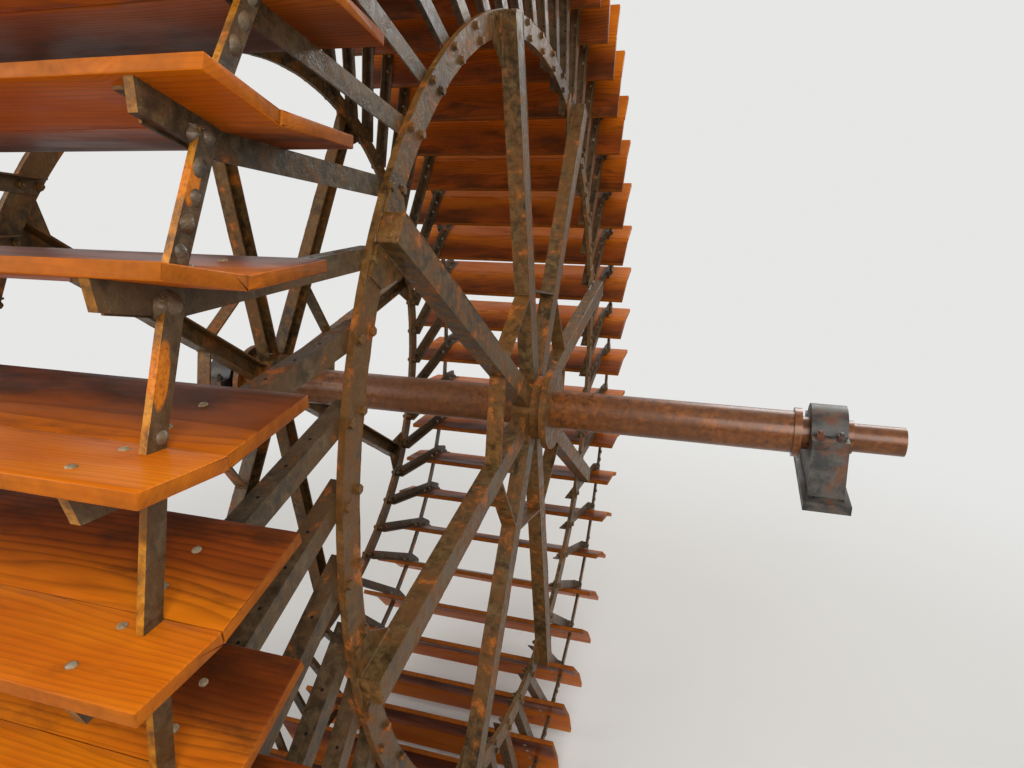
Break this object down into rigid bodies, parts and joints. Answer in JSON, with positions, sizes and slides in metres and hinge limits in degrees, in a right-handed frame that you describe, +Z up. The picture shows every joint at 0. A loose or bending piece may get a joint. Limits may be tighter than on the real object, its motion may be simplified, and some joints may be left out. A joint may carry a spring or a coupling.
{
  "type": "water wheel",
  "caption": "Steel water wheel with bent two-board wooden paddles on angle-iron arms, turning on a round shaft in two pedestal bearings.",
  "frame": {"origin": "middle of the flat base of the wall-side bearing, on its underside", "axes": "+X along the shaft towards the mill wall and the drive end, +Z up, -Y the side the picture was taken from"},
  "size_m": [3.361, 5.004, 5.004],
  "materials": {
    "bearing_iron": "dark weathered cast iron",
    "weathered_steel": "grey-brown weathered steel with rust stains",
    "rusty_shaft": "satin rust-brown steel",
    "varnished_board": "orange-brown varnished softwood boards"
  },
  "bodies": {
    "bearings": {"wall_bearing_base": "bearing_iron", "wall_bearing_cap": "bearing_iron", "outer_bearing_base": "bearing_iron", "outer_bearing_cap": "bearing_iron"},
    "wheel": {"shaft": "rusty_shaft", "thrust_collar": "rusty_shaft", "hub_right": "weathered_steel", "hub_left": "weathered_steel", "hub_straps_right": "weathered_steel", "hub_straps_left": "weathered_steel", "spokes_right": "weathered_steel", "spokes_left": "weathered_steel", "rim_right": "weathered_steel", "rim_left": "weathered_steel", "gussets_right": "weathered_steel", "gussets_left": "weathered_steel", "arms_right": "weathered_steel", "arms_left": "weathered_steel", "elbow_bars_right": "weathered_steel", "elbow_bars_left": "weathered_steel", "inner_boards_1": "varnished_board", "inner_boards_2": "varnished_board", "inner_boards_3": "varnished_board", "inner_boards_4": "varnished_board", "inner_boards_5": "varnished_board", "inner_boards_6": "varnished_board", "inner_boards_7": "varnished_board", "inner_boards_8": "varnished_board", "outer_boards_1": "varnished_board", "outer_boards_2": "varnished_board", "outer_boards_3": "varnished_board", "outer_boards_4": "varnished_board", "outer_boards_5": "varnished_board", "outer_boards_6": "varnished_board", "outer_boards_7": "varnished_board", "outer_boards_8": "varnished_board"}
  },
  "joints": [
    {"name": "wheel_turn", "type": "hinge", "parent": "bearings", "child": "wheel", "pos_m": [0, 0, 0.22], "axis": [1, 0, 0], "continuous": true}
  ]
}
